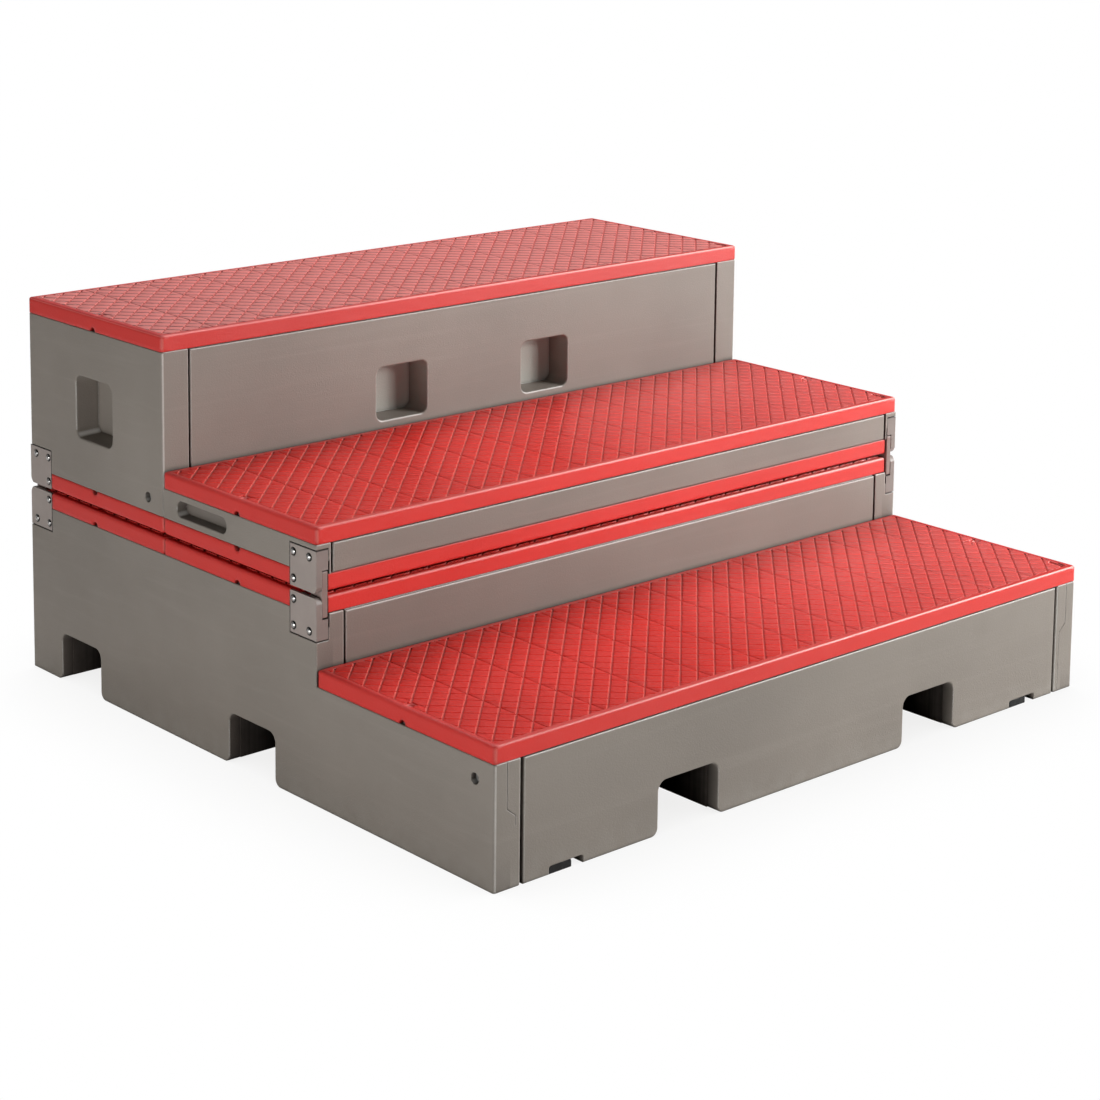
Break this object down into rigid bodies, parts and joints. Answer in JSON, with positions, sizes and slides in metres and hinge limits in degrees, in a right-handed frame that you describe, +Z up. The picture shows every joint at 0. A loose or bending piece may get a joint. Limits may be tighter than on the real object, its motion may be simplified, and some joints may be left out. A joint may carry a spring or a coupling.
{
  "type": "convertible step riser platform",
  "caption": "Stepped riser platform of grey moulded panels and red textured treads; its middle and top sections flip over on link hinges to lie level with the base.",
  "frame": {"origin": "centre of the footprint on the floor", "axes": "+X along the width of the steps, -Y towards the lower step (the front), +Z up"},
  "size_m": [1.2248, 1.143, 0.6096],
  "materials": {
    "red_tread": "satin, textured",
    "grey_panel": "fine moulded grain",
    "hinge_paint": "satin powder coat",
    "link_metal": "satin powder coat",
    "bright_steel": "bright zinc",
    "dark_steel": "dull zinc",
    "black_rubber": "matt"
  },
  "bodies": {
    "base": {"base_end_panel_left": "grey_panel", "base_end_panel_right": "grey_panel", "base_front_hinge_pins": "bright_steel", "base_front_hinge_plate_left": "hinge_paint", "base_front_hinge_plate_right": "hinge_paint", "base_front_panel": "grey_panel", "base_hinge_rivets": "bright_steel", "base_middle_deck": "red_tread", "base_partition": "grey_panel", "base_rear_deck": "red_tread", "base_rear_hinge_pins": "bright_steel", "base_rear_hinge_plate_left": "hinge_paint", "base_rear_hinge_plate_right": "hinge_paint", "base_rear_panel": "grey_panel", "base_riser_panel": "grey_panel", "base_tie_rod": "dark_steel", "lower_tread_deck": "red_tread", "lower_tread_ledger": "grey_panel", "rubber_feet": "black_rubber"},
    "front_links": {"front_link_left": "link_metal", "front_link_right": "link_metal"},
    "middle_unit": {"middle_end_panel_left": "grey_panel", "middle_end_panel_right": "grey_panel", "middle_front_panel": "grey_panel", "middle_hinge_pins": "bright_steel", "middle_hinge_plate_left": "hinge_paint", "middle_hinge_plate_right": "hinge_paint", "middle_hinge_rivets": "bright_steel", "middle_lower_deck": "red_tread", "middle_rear_panel": "grey_panel", "middle_upper_deck": "red_tread"},
    "rear_links": {"rear_link_left": "link_metal", "rear_link_right": "link_metal"},
    "top_unit": {"top_end_panel_left": "grey_panel", "top_end_panel_right": "grey_panel", "top_front_panel": "grey_panel", "top_hinge_pins": "bright_steel", "top_hinge_plate_left": "hinge_paint", "top_hinge_plate_right": "hinge_paint", "top_hinge_rivets": "bright_steel", "top_lower_deck": "red_tread", "top_rear_panel": "grey_panel", "top_tie_rod": "dark_steel", "top_upper_deck": "red_tread"}
  },
  "joints": [
    {"name": "front_link_pivot", "type": "hinge", "parent": "base", "child": "front_links", "pos_m": [0, -0.1755, 0.2888], "axis": [1, 0, 0], "range_deg": [0, 90]},
    {"name": "middle_unit_pivot", "type": "hinge", "parent": "front_links", "child": "middle_unit", "pos_m": [0, -0.1755, 0.3208], "axis": [1, 0, 0], "range_deg": [0, 90]},
    {"name": "rear_link_pivot", "type": "hinge", "parent": "base", "child": "rear_links", "pos_m": [0, 0.5565, 0.2888], "axis": [-1, 0, 0], "range_deg": [0, 90]},
    {"name": "top_unit_pivot", "type": "hinge", "parent": "rear_links", "child": "top_unit", "pos_m": [0, 0.5565, 0.3208], "axis": [-1, 0, 0], "range_deg": [0, 90]}
  ],
  "couplings": [
    {"joint": "middle_unit_pivot", "follows": "front_link_pivot", "ratio": 1},
    {"joint": "top_unit_pivot", "follows": "rear_link_pivot", "ratio": 1}
  ]
}
